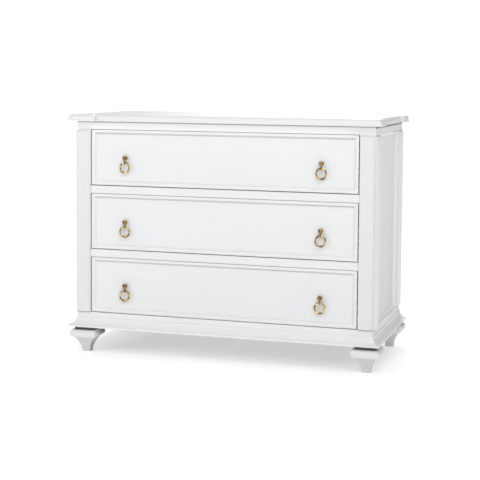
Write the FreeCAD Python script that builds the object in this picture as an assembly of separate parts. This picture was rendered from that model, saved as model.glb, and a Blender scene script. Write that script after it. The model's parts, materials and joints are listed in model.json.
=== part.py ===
import FreeCAD, Part
import math
import os

from FreeCAD import Vector

# A painted commode chest: a post-and-panel case on a moulded base with four tapered ogee feet,
# a top with stepped-out corners, and three inset drawers with brass ring pulls.
# Millimetres. +X is to the right seen from the front, -Y is the front and +Z is up.
# The origin is on the floor, in the middle of the chest's plan.

# Case
case_width = 1016.0
case_depth = 490.0
foot_height = 91.0
base_height = 49.0
drawer_count = 3
opening_height = 189.0
rail_height = 26.0
frieze_height = 27.0
top_thickness = 22.0

# Top board
top_front_overhang = 28.0
top_side_overhang = 23.0
top_back_overhang = 4.0
top_step = 12.0
top_block_width = 98.0
top_block_depth = 88.0
top_edge_flat = 5.0
top_edge_quirk = 1.5
top_edge_set_back = 9.0

# Posts, rails and pilasters
post_width = 50.0
post_depth = 72.0
pilaster_thickness = 9.0
pilaster_margin = 1.5
pilaster_chamfer = 4.0
pilaster_top_gap = 4.0
side_pilaster_thickness = 5.5
side_pilaster_chamfer = 3.0
frieze_thickness = 22.0
rail_behind_post = 8.0
side_rail_thickness = 28.0

# Sunk side panels, the sills under them and the hollow mouldings round them
panel_thickness = 12.0
panel_recess = 12.0
panel_tongue = 8.0
panel_clearance = 0.2
sill_drop = 14.0
sill_wall = 5.0
sill_end = 16.0
moulding_width = 15.0
moulding_fillet = 2.0
moulding_set_down = 1.0
moulding_lip = 1.5

# Back panel
back_thickness = 6.0
back_rebate = 16.0
back_rail_thickness = 20.0

# Base moulding
base_flare = 25.5
base_board_width = 40.0
base_fascia = 18.0
base_fillet = 3.0
base_foot_edge = 5.0
base_lip = 3.5
block_size = 75.0

# Feet: half widths and heights of the square ogee profile
foot_side_inset = 1.0
foot_front_inset = 8.0
foot_back_overhang = 4.0
foot_lip_half = 48.5
foot_neck_half = 33.0
foot_neck_height = 12.5
foot_lip_height = 26.0
foot_lip_round = 11.0
foot_corner_round = 15.0
foot_toe_half = 13.5
foot_waist_half = 18.0
foot_waist_share = 0.45
tenon_half = 14.0
tenon_length = 30.0
tenon_offset = 18.0
tenon_clearance = 0.2

# Drawer boxes
drawer_top_gap = 1.4
drawer_bottom_gap = 2.6
drawer_side_gap = 3.0
front_thickness = 20.0
front_lip = 6.0
front_slope = 9.0
front_recess = 6.0
front_cove_rise = 1.2
side_thickness = 12.0
side_top_gap = 15.7
tail_count = 5
tail_length = 12.0
tail_root_share = 0.62
tail_end_share = 0.76
drawer_back_thickness = 12.0
drawer_back_drop = 8.0
bottom_thickness = 6.0
bottom_lift = 12.0
groove_depth = 6.0
groove_clearance = 0.2
running_clearance = 0.3

# Runners with their guides and stops
runner_ledge = 20.0
runner_bearing = 16.0
guide_height = 20.0
guide_clearance = 1.0
stop_height = 16.0
stop_length = 11.7
stop_clearance = 0.3
kicker_lift = 6.0

# Ring pulls
pull_from_middle = 335.0
knob_flange_radius = 6.5
knob_flange_height = 1.6
knob_neck_radius = 4.0
knob_head_radius = 8.1
knob_head_half_depth = 6.9
knob_head_facets = 7
knob_projection = 16.5
eye_drop = 14.8
eye_projection = 9.5
eye_wall = 2.1
eye_thickness = 4.4
eye_stem_front = 8.5
eye_clearance = 0.55
ring_wire_radius = 2.75
ring_radius = 17.2
ring_facets = 32
ring_wire_facets = 8
shank_width = 4.0
shank_clearance = 0.2
shank_end = 0.8
rove_width = 13.0
rove_thickness = 1.6

# Wooden buttons that hold the top to the friezes
button_columns = 4
button_end_margin = 60.0
button_width = 40.0
button_length = 30.0
button_height = 18.0
button_gap = 1.0
tongue_length = 8.0
tongue_height = 6.0
tongue_drop = 8.0
tongue_clearance = 0.2

# Tools
overrun = 5.0
angle_full = 360.0

# Places worked out from the sizes above
half_case = case_width / 2
overall_depth = top_front_overhang + case_depth + top_back_overhang
front_y = top_front_overhang - overall_depth / 2
back_y = front_y + case_depth
base_top = foot_height + base_height
pitch = opening_height + rail_height
frieze_bottom = base_top + drawer_count * pitch - rail_height
top_bottom = frieze_bottom + frieze_height
total_height = top_bottom + top_thickness
half_opening = half_case - post_width
half_base = half_case + base_flare
base_inner_x = half_base - base_board_width
base_front_y = front_y - base_flare
base_inner_y = base_front_y + base_board_width
back_board_y = back_y - back_thickness
back_rail_y = back_board_y - back_rail_thickness
side_inner_x = half_case - side_rail_thickness
rail_depth = post_depth + rail_behind_post
panel_face_x = half_case - panel_recess
half_front = half_opening - drawer_side_gap
box_half = half_front
field_y = front_y + front_recess
runner_end_y = back_y - post_depth
drawer_end_y = runner_end_y - stop_length - stop_clearance
side_height = opening_height - running_clearance - side_top_gap
levels = ["bottom", "middle", "top"]
sides = [("left", -1), ("right", 1)]


def box(x0, x1, y0, y1, z0, z1):
    """A box between two corners."""
    return Part.makeBox(x1 - x0, y1 - y0, z1 - z0, Vector(x0, y0, z0))


def side_box(sign, x0, x1, y0, y1, z0, z1):
    """A box given by its distances from the middle, on the left (-1) or right (1)."""
    if sign > 0:
        return box(x0, x1, y0, y1, z0, z1)
    return box(-x1, -x0, y0, y1, z0, z1)


def outline(place, start, steps):
    """A face round a closed outline. A step is (end,) for a line or (middle, end) for an arc."""
    edges = []
    here = start
    for step in steps:
        end = step[-1]
        if len(step) == 1:
            edges.append(Part.LineSegment(place(*here), place(*end)).toShape())
        else:
            edges.append(Part.Arc(place(*here), place(*step[0]), place(*end)).toShape())
        here = end
    if math.dist(here, start) > 0:
        edges.append(Part.LineSegment(place(*here), place(*start)).toShape())
    return Part.Face(Part.Wire(edges))


def bulge(a, b, rise):
    """The middle point of an arc from a to b that stands off its chord, to the left of its way."""
    length = math.dist(a, b)
    across = ((a[1] - b[1]) / length, (b[0] - a[0]) / length)
    return ((a[0] + b[0]) / 2 + across[0] * rise, (a[1] + b[1]) / 2 + across[1] * rise)


def mirror_x(shape):
    """The same piece on the other side of the chest."""
    return shape.mirror(Vector(0, 0, 0), Vector(1, 0, 0))


def on_side(sign, shape):
    """A piece modelled on the right, kept there or turned to the left side."""
    return shape if sign > 0 else mirror_x(shape)


def rod(radius, start, direction, length):
    """A plain round bar."""
    return Part.makeCylinder(radius, length, start, direction)


def save(name, *solids):
    """Writes one node, which holds one solid or a group of like solids."""
    shape = solids[0] if len(solids) == 1 else Part.makeCompound(list(solids))
    shape.exportStep(os.path.join("parts", name + ".step"))


def top_edge(inset):
    """The top's moulded edge from its lower corner up, as set-backs and heights with arcs."""
    quirk_z = top_bottom + top_edge_flat
    lower = (inset(top_edge_quirk), quirk_z)
    upper = (inset(top_edge_set_back), total_height)
    rise = (top_edge_set_back - top_edge_quirk) / 2
    outward = inset(top_edge_quirk) - inset(top_edge_set_back)
    middle = bulge(lower, upper, math.copysign(rise, -outward))
    return (inset(0), top_bottom), [((inset(0), quirk_z),), (lower,), (middle, upper)]


def top_block():
    """The top as one block with its moulded edge on the front and both sides."""
    half = half_case + top_side_overhang
    front = front_y - top_front_overhang
    back = back_y + top_back_overhang
    start, left = top_edge(lambda set_back: set_back - half)
    right_start, right = top_edge(lambda set_back: half - set_back)
    # The right edge is the left one in the mirror, walked from the top down
    right_down = [(right[2][1],), (right[2][0], right[1][0]), right[0], (right_start,)]
    across = outline(lambda u, v: Vector(u, front, v), start, left + right_down)
    start, front_edge = top_edge(lambda set_back: front + set_back)
    back_line = [((back, total_height),), ((back, top_bottom),)]
    along = outline(lambda u, v: Vector(-half, u, v), start, front_edge + back_line)
    return across.extrude(Vector(0, back - front, 0)).common(along.extrude(Vector(2 * half, 0, 0)))


def notch(x0, x1, y0, y1, open_side):
    """A cutter that steps the top's edge back between two corner blocks, moulding and all."""
    def walls(low, high, low_open, high_open):
        start, low_edge = top_edge(lambda set_back: low if low_open else low - set_back)
        high_start, high_edge = top_edge(lambda set_back: high if high_open else high + set_back)
        below = top_bottom - overrun
        above = total_height + overrun
        steps = [(start,)]
        if low_open:
            steps += [((low, total_height),)]
        else:
            steps += low_edge
        steps += [((steps[-1][-1][0], above),)]
        top_high = high if high_open else high_edge[2][1][0]
        steps += [((top_high, above),), ((top_high, total_height),)]
        if not high_open:
            steps += [(high_edge[2][0], high_edge[1][0]), high_edge[0]]
        steps += [(high_start,), ((high, below),)]
        return (low, below), steps

    start, steps = walls(x0, x1, open_side == "left", open_side == "right")
    across = outline(lambda u, v: Vector(u, y0 - top_edge_set_back - overrun, v), start, steps)
    start, steps = walls(y0, y1, open_side == "front", False)
    along = outline(lambda u, v: Vector(x0 - top_edge_set_back - overrun, u, v), start, steps)
    spare = 2 * (top_edge_set_back + overrun)
    return across.extrude(Vector(0, y1 - y0 + spare, 0)).common(
        along.extrude(Vector(x1 - x0 + spare, 0, 0))
    )


def button(x, face_y, way):
    """A wooden button under the top, beside a frieze's face, its tongue reaching into the frieze."""
    near, far = sorted((face_y + way * button_gap, face_y + way * button_length))
    half = button_width / 2
    block = box(x - half, x + half, near, far, top_bottom - button_height, top_bottom)
    return block.fuse(button_tongue(x, face_y, way, 0)).removeSplitter()


def button_tongue(x, face_y, way, clearance):
    """A button's tongue, or with a clearance the slot for it."""
    reach = tongue_length + clearance
    near, far = sorted((face_y - way * reach, face_y + way * (button_gap + clearance)))
    half = button_width / 2 + clearance
    z1 = top_bottom - tongue_drop
    return box(x - half, x + half, near, far, z1 - tongue_height - clearance, z1 + clearance)


def button_places(face_y, way):
    """The row of buttons along one frieze."""
    reach = half_opening - button_end_margin
    return [
        (-reach + 2 * reach * i / (button_columns - 1), face_y, way) for i in range(button_columns)
    ]


up = Vector(0, 0, 1)
down = Vector(0, 0, -1)
forward = Vector(0, -1, 0)
backward = Vector(0, 1, 0)


def build_top():
    """The top board, its edge stepped out over the corner posts."""
    half = half_case + top_side_overhang
    front = front_y - top_front_overhang
    back = back_y + top_back_overhang
    board = top_block()
    inner = half - top_block_width
    board = board.cut(notch(-inner, inner, front - overrun, front + top_step, "front"))
    for sign in (-1, 1):
        low, high = sorted((sign * (half - top_step), sign * (half + overrun)))
        open_side = "right" if sign > 0 else "left"
        board = board.cut(
            notch(low, high, front + top_block_depth, back - top_block_depth, open_side)
        )
    save("top_board", board.removeSplitter())


def panel_groove(sign):
    """The groove that holds a side panel's tongues in the posts, rail and sill."""
    y0, y1, z0, z1 = panel_limits(panel_tongue + panel_clearance)
    return side_box(
        sign,
        panel_face_x - panel_thickness - panel_clearance,
        panel_face_x + panel_clearance,
        y0,
        y1,
        z0,
        z1,
    )


def panel_limits(reach):
    """The opening in a side frame, grown by a reach into the frame."""
    return (
        front_y + post_depth - reach,
        back_y - post_depth + reach,
        base_top - reach,
        frieze_bottom + reach,
    )


def build_case_frame():
    """Posts, pilasters, friezes, drawer rails and sills."""
    inner = half_opening
    for side, sign in sides:
        groove = panel_groove(sign)
        front_post = side_box(
            sign, inner, half_case, front_y, front_y + post_depth, base_top, top_bottom
        )
        save("post_front_" + side, front_post.cut(groove))
        back_post = side_box(
            sign, inner, half_case, back_y - post_depth, back_y, base_top, top_bottom
        )
        rebate = side_box(
            sign, inner - overrun, inner + back_rebate, back_board_y, back_y + overrun,
            base_top - overrun, top_bottom + overrun,
        )
        save("post_back_" + side, back_post.cut(groove).cut(rebate))
        save("pilaster_" + side, *pilasters(sign))
        rail = side_box(
            sign, side_inner_x, half_case, front_y + post_depth, back_y - post_depth,
            frieze_bottom, top_bottom,
        )
        save("frieze_" + side, rail.cut(groove))
        save("sill_" + side, sill_box(sign).cut(groove))
    front = box(-inner, inner, front_y, front_y + frieze_thickness, frieze_bottom, top_bottom)
    friezes = [("front", front, front_y + frieze_thickness, 1)]
    back = box(-inner, inner, back_rail_y, back_board_y, frieze_bottom, top_bottom)
    friezes += [("back", back, back_rail_y, -1)]
    buttons = []
    for name, frieze, face_y, way in friezes:
        for place in button_places(face_y, way):
            frieze = frieze.cut(button_tongue(*place, tongue_clearance))
            buttons.append(button(*place))
        save("frieze_" + name, frieze)
    save("top_buttons", *buttons)
    for name, level in (("lower", 1), ("upper", 2)):
        z1 = base_top + level * pitch
        save("rail_" + name, box(-inner, inner, front_y, front_y + rail_depth, z1 - rail_height, z1))


def sill_box(sign):
    """A sill under a side panel, let into the base from above and held down by the posts."""
    return side_box(
        sign, side_inner_x, half_case - sill_wall, front_y + post_depth - sill_end,
        back_y - post_depth + sill_end, base_top - sill_drop, base_top,
    )


def chamfered(board, chamfer, away):
    """A board with the edges round its outer face chamfered, found by how far they lie from it."""
    edges = [edge for edge in board.Edges if away(edge.BoundBox) < chamfer / 2]
    return board.makeChamfer(chamfer, edges)


def pilasters(sign):
    """The flat pilasters on one end of the case: on the front post's front, and on both posts' sides."""
    z1 = frieze_bottom - pilaster_top_gap
    face_y = front_y - pilaster_thickness
    flat = side_box(
        sign, half_opening + pilaster_margin, half_case - pilaster_margin, face_y, front_y, base_top, z1
    )
    pieces = [chamfered(flat, pilaster_chamfer, lambda limits: limits.YMax - face_y)]
    face_x = half_case + side_pilaster_thickness
    for y in (front_y, back_y - post_depth):
        flat = box(
            half_case, face_x, y + pilaster_margin, y + post_depth - pilaster_margin, base_top, z1
        )
        side = chamfered(flat, side_pilaster_chamfer, lambda limits: face_x - limits.XMin)
        pieces.append(on_side(sign, side))
    return pieces


def moulding_profile(place):
    """A hollow moulding's section: across from the frame's edge, and out from the frame's face."""
    hollow_start = (moulding_fillet, -moulding_set_down)
    hollow_end = (moulding_width, moulding_lip - panel_recess)
    rise = math.dist(hollow_start, hollow_end) / 2 * (math.sqrt(2) - 1)
    return outline(
        place,
        (0, -panel_recess),
        [
            ((0, -moulding_set_down),),
            (hollow_start,),
            (bulge(hollow_start, hollow_end, -rise), hollow_end),
            ((moulding_width, -panel_recess),),
        ],
    )


def build_sides():
    """The sunk side panels, and the hollow moulding mitred round each."""
    y0, y1, z0, z1 = panel_limits(panel_tongue)
    near, far, low, high = panel_limits(0)
    for side, sign in sides:
        panel = side_box(sign, panel_face_x - panel_thickness, panel_face_x, y0, y1, z0, z1)
        save("side_panel_" + side, panel)
        places = [
            # Each stick's length, its start, and the directions of its length and its width
            (high - low, Vector(half_case, near, low), up, backward),
            (high - low, Vector(half_case, far, low), up, forward),
            (far - near, Vector(half_case, near, low), backward, up),
            (far - near, Vector(half_case, near, high), backward, down),
        ]
        sticks = [place_stick(*place) for place in places]
        save("side_moulding_" + side, *[on_side(sign, stick) for stick in sticks])


def place_stick(length, start, along, across):
    """Puts a moulding stick on the right side of the case."""
    section = moulding_profile(lambda u, v: start + across * u + Vector(v, 0, 0))
    stick = section.extrude(along * length)
    corners = [
        start,
        start + along * length,
        start + along * (length - moulding_width) + across * moulding_width,
        start + along * moulding_width + across * moulding_width,
    ]
    wedge = Part.Face(Part.makePolygon(corners + corners[:1]))
    wedge.translate(Vector(-panel_recess - overrun, 0, 0))
    return stick.common(wedge.extrude(Vector(panel_recess + 2 * overrun, 0, 0)))


def build_back():
    """The back panel, let into the back posts."""
    half = half_opening + back_rebate - panel_clearance
    panel = box(-half, half, back_board_y, back_y, base_top, top_bottom)
    save("back_panel", panel)


def base_section(place):
    """The base moulding's section: out from the fascia, and up."""
    fascia_z = base_top - base_fascia
    lip_z = foot_height + base_foot_edge
    cove_start = (base_fillet, fascia_z)
    cove_end = (base_flare - base_lip, lip_z)
    rise = math.dist(cove_start, cove_end) / 2 * (math.sqrt(2) - 1)
    cove = bulge(cove_start, cove_end, -rise)
    return outline(
        place,
        (base_flare - base_board_width, base_top),
        [
            ((0, base_top),),
            ((0, fascia_z),),
            (cove_start,),
            (cove, cove_end),
            ((base_flare, lip_z),),
            ((base_flare, foot_height),),
            ((base_flare - base_board_width, foot_height),),
        ],
    )


def mitre_wedge(sign):
    """The corner of the base frame that belongs to its side board, in plan."""
    far = half_base + back_y - base_front_y
    corners = [
        Vector(sign * (half_base + overrun), base_front_y - overrun, 0),
        Vector(sign * (half_base - far), base_front_y + far, 0),
        Vector(sign * (half_base + overrun), base_front_y + far, 0),
    ]
    wedge = Part.Face(Part.makePolygon(corners + corners[:1]))
    return wedge.extrude(Vector(0, 0, total_height))


def build_base():
    """The moulded base frame, mitred at its front corners, with its corner blocks and feet."""
    front = base_section(lambda u, v: Vector(-half_base, front_y - u, v))
    board = front.extrude(Vector(2 * half_base, 0, 0))
    for sign in (-1, 1):
        board = board.cut(mitre_wedge(sign))
    save("base_front", board)
    for side, sign in sides:
        section = base_section(lambda u, v: Vector(half_case + u, base_front_y, v))
        board = section.extrude(Vector(0, back_y - base_front_y, 0)).common(mitre_wedge(1))
        save("base_" + side, on_side(sign, board.cut(sill_box(1))))
    back = box(-base_inner_x, base_inner_x, back_rail_y, back_board_y, foot_height, base_top)
    save("base_back", back)
    blocks = []
    for depth, way, y, block_y in (
        ("front", 1, base_front_y + foot_front_inset + foot_lip_half, base_inner_y),
        ("back", -1, back_y + foot_back_overhang - foot_lip_half, back_rail_y - block_size),
    ):
        for side, sign in sides:
            centre = Vector(sign * (half_base - foot_side_inset - foot_lip_half), y, 0)
            inward = Vector(-sign * tenon_offset, way * tenon_offset, foot_height)
            tenon = tenon_box(centre + inward, 0)
            save("foot_" + depth + "_" + side, foot(centre).fuse(tenon).removeSplitter())
            block = side_box(
                sign, base_inner_x - block_size, base_inner_x, block_y, block_y + block_size,
                foot_height, base_top - sill_drop,
            )
            blocks.append(block.cut(tenon_box(centre + inward, tenon_clearance)))
    save("corner_blocks", *blocks)


def tenon_box(seat, clearance):
    """A foot's square tenon on its seat, or with a clearance the mortise for it."""
    half = tenon_half + clearance
    length = tenon_length + clearance
    return box(seat.x - half, seat.x + half, seat.y - half, seat.y + half, seat.z, seat.z + length)


def foot(centre):
    """A square foot: a neck, a lip with rounded corners and a hollow taper, alike on all four sides."""
    lip_top = foot_height - foot_neck_height
    lip_bottom = lip_top - foot_lip_height
    lip_edge = foot_lip_half - foot_lip_round
    lip_middle = (foot_lip_half, (lip_top + lip_bottom) / 2)
    waist = (foot_waist_half, lip_bottom * foot_waist_share)

    def section(place):
        return outline(
            place,
            (foot_toe_half, 0),
            [
                (waist, (lip_edge, lip_bottom)),
                (lip_middle, (lip_edge, lip_top)),
                ((foot_neck_half, lip_top),),
                ((foot_neck_half, foot_height),),
                ((-foot_neck_half, foot_height),),
                ((-foot_neck_half, lip_top),),
                ((-lip_edge, lip_top),),
                ((-lip_middle[0], lip_middle[1]), (-lip_edge, lip_bottom)),
                ((-waist[0], waist[1]), (-foot_toe_half, 0)),
            ],
        )

    reach = foot_lip_half + overrun
    across = section(lambda u, v: centre + Vector(u, -reach, v)).extrude(Vector(0, 2 * reach, 0))
    along = section(lambda u, v: centre + Vector(-reach, u, v)).extrude(Vector(2 * reach, 0, 0))
    half = foot_lip_half
    plan = box(centre.x - half, centre.x + half, centre.y - half, centre.y + half, 0, foot_height)
    upright = [edge for edge in plan.Edges if edge.BoundBox.ZLength > foot_height / 2]
    return across.common(along).common(plan.makeFillet(foot_corner_round, upright)).removeSplitter()


def build_runners():
    """L-shaped runners with stops that carry the drawers, and kickers over the top drawer."""
    runners = []
    bearing_x = box_half - runner_bearing
    guide_x = box_half + guide_clearance
    for level in range(drawer_count):
        z = base_top + level * pitch
        # The lowest pair lies between the base's corner blocks
        y0 = base_inner_y + block_size if level == 0 else front_y + rail_depth
        y1 = back_rail_y - block_size if level == 0 else runner_end_y
        for side, sign in sides:
            ledge = side_box(sign, bearing_x, side_inner_x, y0, y1, z - runner_ledge, z)
            guide = side_box(sign, guide_x, side_inner_x, y0, runner_end_y, z, z + guide_height)
            stop = side_box(
                sign, bearing_x, side_inner_x, drawer_end_y + stop_clearance, runner_end_y,
                z, z + stop_height,
            )
            runners.append(ledge.fuse([guide, stop]).removeSplitter())
    save("drawer_runners", *runners)
    kickers = []
    for side, sign in sides:
        kicker = side_box(
            sign, bearing_x, half_opening, front_y + frieze_thickness, back_rail_y,
            frieze_bottom + kicker_lift, top_bottom,
        )
        kickers.append(kicker)
    save("kickers", *kickers)


def drawer_front(z0, z1):
    """A drawer front: a thin outer lip and a moulded slope down to a recessed field."""
    board = box(-half_front, half_front, front_y, front_y + front_thickness, z0, z1)

    def sunk(low, high, place):
        rim_low, rim_high = low + front_lip, high - front_lip
        start, end = (rim_low, front_y), (rim_high, front_y)
        field_start, field_end = (rim_low + front_slope, field_y), (rim_high - front_slope, field_y)
        return outline(
            place,
            (rim_low, front_y - overrun),
            [
                (start,),
                (bulge(start, field_start, -front_cove_rise), field_start),
                (field_end,),
                (bulge(field_end, end, -front_cove_rise), end),
                ((rim_high, front_y - overrun),),
            ],
        )

    across = sunk(-half_front, half_front, lambda u, v: Vector(u, v, z0))
    along = sunk(z0, z1, lambda u, v: Vector(-half_front, v, u))
    sink = across.extrude(Vector(0, 0, z1 - z0)).common(along.extrude(Vector(2 * half_front, 0, 0)))
    return board.cut(sink)


def side_tails(low):
    """The dovetails at the front end of a drawer's right side, which lock into the back of its front."""
    root_y = front_y + front_thickness
    end_y = root_y - tail_length
    space = side_height / tail_count
    tails = []
    for i in range(tail_count):
        middle = low + space * i + space / 2
        root, end = space * tail_root_share / 2, space * tail_end_share / 2
        face = outline(
            lambda u, v: Vector(box_half - side_thickness, u, v),
            (root_y, middle - root),
            [((end_y, middle - end),), ((end_y, middle + end),), ((root_y, middle + root),)],
        )
        tails.append(face.extrude(Vector(side_thickness, 0, 0)))
    return tails


def build_drawer(level, name):
    """One drawer: front, sides, back and bottom, with the hardware of its two pulls."""
    opening_z = base_top + level * pitch
    z0 = opening_z + drawer_bottom_gap
    z1 = opening_z + opening_height - drawer_top_gap
    low = opening_z + running_clearance
    bottom_z = low + bottom_lift
    inner = box_half - side_thickness
    back_y0 = drawer_end_y - drawer_back_thickness
    inside_y = front_y + front_thickness

    tongue = inner + groove_depth - groove_clearance
    bottom_y0 = inside_y - groove_depth + groove_clearance
    bottom = box(-tongue, tongue, bottom_y0, drawer_end_y, bottom_z, bottom_z + bottom_thickness)
    save("drawer_bottom_" + name, bottom)
    groove = box(
        -inner - groove_depth, inner + groove_depth, inside_y - groove_depth,
        drawer_end_y + overrun, bottom_z - groove_clearance, bottom_z + bottom_thickness + groove_clearance,
    )
    front = drawer_front(z0, z1).cut(groove)
    for side, sign in sides:
        board = side_box(sign, inner, box_half, inside_y, drawer_end_y, low, low + side_height)
        tails = [on_side(sign, tail) for tail in side_tails(low)]
        front = front.cut(tails)
        save("drawer_side_" + side + "_" + name, board.fuse(tails).cut(groove).removeSplitter())
    back = box(
        -inner, inner, back_y0, drawer_end_y,
        bottom_z + bottom_thickness + groove_clearance, low + side_height - drawer_back_drop,
    )
    save("drawer_back_" + name, back)

    knobs = []
    roves = []
    for side, sign in sides:
        centre = Vector(sign * pull_from_middle, field_y, opening_z + opening_height / 2)
        half = rove_width / 2
        rove = box(
            centre.x - half, centre.x + half, inside_y, inside_y + rove_thickness,
            centre.z - half, centre.z + half,
        )
        hole = shank(centre, inside_y + rove_thickness + overrun, shank_clearance)
        front = front.cut(hole)
        roves.append(rove.cut(hole))
        knobs.append(knob(centre).fuse(shank(centre, inside_y + rove_thickness + shank_end, 0)))
        save("ring_" + side + "_" + name, ring(centre))
    save("drawer_front_" + name, front)
    save("pull_knobs_" + name, *knobs)
    save("pull_roves_" + name, *roves)


def shank(centre, end_y, clearance):
    """A knob's square shank through the drawer front, or with a clearance the hole for it."""
    half = shank_width / 2 + clearance
    return box(
        centre.x - half, centre.x + half, centre.y, end_y, centre.z - half, centre.z + half
    )


def knob(centre):
    """A turned brass knob with an eye under its neck, standing on a drawer's field."""
    head_z = knob_projection - knob_head_half_depth
    neck_turn = -math.acos(knob_neck_radius / knob_head_radius)
    head = []
    for i in range(knob_head_facets + 1):
        turn = neck_turn + (math.pi / 2 - neck_turn) * i / knob_head_facets
        out = head_z + knob_head_half_depth * math.sin(turn)
        head.append(((knob_head_radius * math.cos(turn), out),))
    # The last corner lies on the knob's axis
    head[-1] = ((0, knob_projection),)
    turned = outline(
        lambda u, v: centre + Vector(u, -v, 0),
        (0, 0),
        [
            ((knob_flange_radius, 0),),
            ((knob_flange_radius, knob_flange_height),),
            ((knob_neck_radius, knob_flange_height),),
        ]
        + head,
    )
    body = turned.revolve(centre, forward, angle_full)
    eye = eye_centre(centre)
    outer = ring_wire_radius + eye_clearance + eye_wall
    half = eye_thickness / 2
    disc = rod(outer, eye - Vector(half, 0, 0), Vector(1, 0, 0), eye_thickness)
    stem_front = centre.y - eye_stem_front
    stem = box(
        eye.x - half, eye.x + half, stem_front, eye.y + outer - eye_wall, eye.z, centre.z,
    )
    hole = rod(
        ring_wire_radius + eye_clearance, eye - Vector(half + overrun, 0, 0), Vector(1, 0, 0),
        eye_thickness + 2 * overrun,
    )
    return body.fuse([disc, stem]).cut(hole).removeSplitter()


def eye_centre(centre):
    """The middle of a knob's eye, where its ring hangs and turns."""
    return centre + forward * eye_projection - up * eye_drop


def ring(centre):
    """A round ring, hanging in its eye, drawn with many small flats."""
    middle = eye_centre(centre) - up * ring_radius

    def corner(i, j):
        turn = 2 * math.pi * i / ring_facets
        roll = 2 * math.pi * j / ring_wire_facets
        radius = ring_radius + ring_wire_radius * math.cos(roll)
        return middle + Vector(
            radius * math.cos(turn), ring_wire_radius * math.sin(roll), radius * math.sin(turn)
        )

    flats = []
    for i in range(ring_facets):
        for j in range(ring_wire_facets):
            corners = [corner(i, j), corner(i + 1, j), corner(i + 1, j + 1), corner(i, j + 1)]
            flats.append(Part.Face(Part.makePolygon(corners + corners[:1])))
    solid = Part.makeSolid(Part.makeShell(flats))
    return solid if solid.Volume > 0 else solid.reversed()


os.makedirs("parts", exist_ok=True)
build_top()
build_case_frame()
build_sides()
build_back()
build_base()
build_runners()
for level, name in enumerate(levels):
    build_drawer(level, name)
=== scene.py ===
"""Looks of the painted three-drawer commode: eased edges, paint, bare wood, brass and a stage."""

import json
import math

import bpy
from bpy.props import FloatProperty, FloatVectorProperty, PointerProperty
from mathutils import Matrix, Vector


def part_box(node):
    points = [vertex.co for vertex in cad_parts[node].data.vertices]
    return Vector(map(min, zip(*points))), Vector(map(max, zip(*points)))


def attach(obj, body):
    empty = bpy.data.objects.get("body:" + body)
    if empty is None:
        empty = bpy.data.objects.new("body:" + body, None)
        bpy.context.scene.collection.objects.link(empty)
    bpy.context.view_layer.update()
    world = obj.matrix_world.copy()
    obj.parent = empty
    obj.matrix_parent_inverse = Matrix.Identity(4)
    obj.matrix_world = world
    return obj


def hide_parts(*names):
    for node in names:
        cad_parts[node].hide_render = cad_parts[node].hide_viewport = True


bl_info = {
    "name": "Painted commode",
    "version": (1, 0, 0),
    "blender": (4, 5, 0),
    "location": "View3D > Sidebar > Commode",
    "description": "Finishes the commode with paint, bare wood and brass, and sets its stage",
    "category": "Object",
}

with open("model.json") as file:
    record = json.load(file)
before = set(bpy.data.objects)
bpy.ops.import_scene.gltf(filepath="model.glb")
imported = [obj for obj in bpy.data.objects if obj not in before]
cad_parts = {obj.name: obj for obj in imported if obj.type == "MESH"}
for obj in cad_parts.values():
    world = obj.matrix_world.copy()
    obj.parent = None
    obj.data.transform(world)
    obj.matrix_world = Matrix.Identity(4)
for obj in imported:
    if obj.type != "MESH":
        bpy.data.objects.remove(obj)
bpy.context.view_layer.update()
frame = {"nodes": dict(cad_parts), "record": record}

MM = 0.001
LEVELS = ("bottom", "middle", "top")
SIDES = ("left", "right")
BODY = {
    piece: body
    for body, pieces in frame["record"]["behaviour"]["bodies"].items()
    for piece in pieces
}

# Which way the brush or the grain runs on each piece
ACROSS = (60.0, 900.0, 900.0)
UPRIGHT = (900.0, 900.0, 60.0)
DEEP = (900.0, 60.0, 900.0)

# Heights that the painted shade and painted light keep to
TOP_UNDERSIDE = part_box("top_board")[0][2]
FRIEZE_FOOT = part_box("frieze_front")[0][2]
BASE_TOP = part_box("base_front")[1][2]
FOOT_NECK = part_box("base_front")[0][2] - 12.5 * MM
FOOT_ROLL = FOOT_NECK - 26 * MM

# Colours painted onto the paint as light and shade: lighter painted light, darker painted shade and
# painted shadow lines
UNDER_TOP_PAINTED_LIGHT = (0.888, 0.893, 0.891)
UNDER_TOP_PAINTED_SHADOW = (0.090, 0.085, 0.080)
PILASTER_SIDE_PAINTED_LIGHT = (0.872, 0.878, 0.872)
PILASTER_FOOT_PAINTED_SHADOW = (0.340, 0.330, 0.320)
PANEL_PAINTED_SHADE = (0.758, 0.752, 0.744)
SLOPE_UPPER_PAINTED_SHADE = (0.555, 0.550, 0.535)
SLOPE_RIGHT_PAINTED_SHADE = (0.750, 0.750, 0.745)
FOOT_UNDER_ROLL_PAINTED_SHADE = (0.620, 0.610, 0.590)
FOOT_INWARD_PAINTED_SHADE_LOW = (0.260, 0.240, 0.205)
FOOT_INWARD_PAINTED_SHADE_HIGH = (0.055, 0.042, 0.030)
NECK_PAINTED_SHADE = (0.055, 0.038, 0.026)

# Angles, in degrees, from which an edge counts as sharp
SHARP = 32
SHARP_MOULDING = 40
SHARP_DRAWER = 12
SHARP_KNOB = 38
SHARP_SCREW = 30

# How a pull sits: the ring's box gives the eye, and the knob stands on the field behind it
RING_BOXES = {level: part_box("ring_right_" + level) for level in LEVELS}
BUILT_WIRE = 2.75 * MM
EYE_DROP = 14.8 * MM
EYE_STAND_OFF = 9.5 * MM
EYE_Y = (RING_BOXES["top"][0][1] + RING_BOXES["top"][1][1]) / 2
FIELD_Y = EYE_Y + EYE_STAND_OFF
PULL_X = (RING_BOXES["top"][0][0] + RING_BOXES["top"][1][0]) / 2
PULL_Z = {level: high[2] - BUILT_WIRE + EYE_DROP for level, (low, high) in RING_BOXES.items()}

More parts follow.
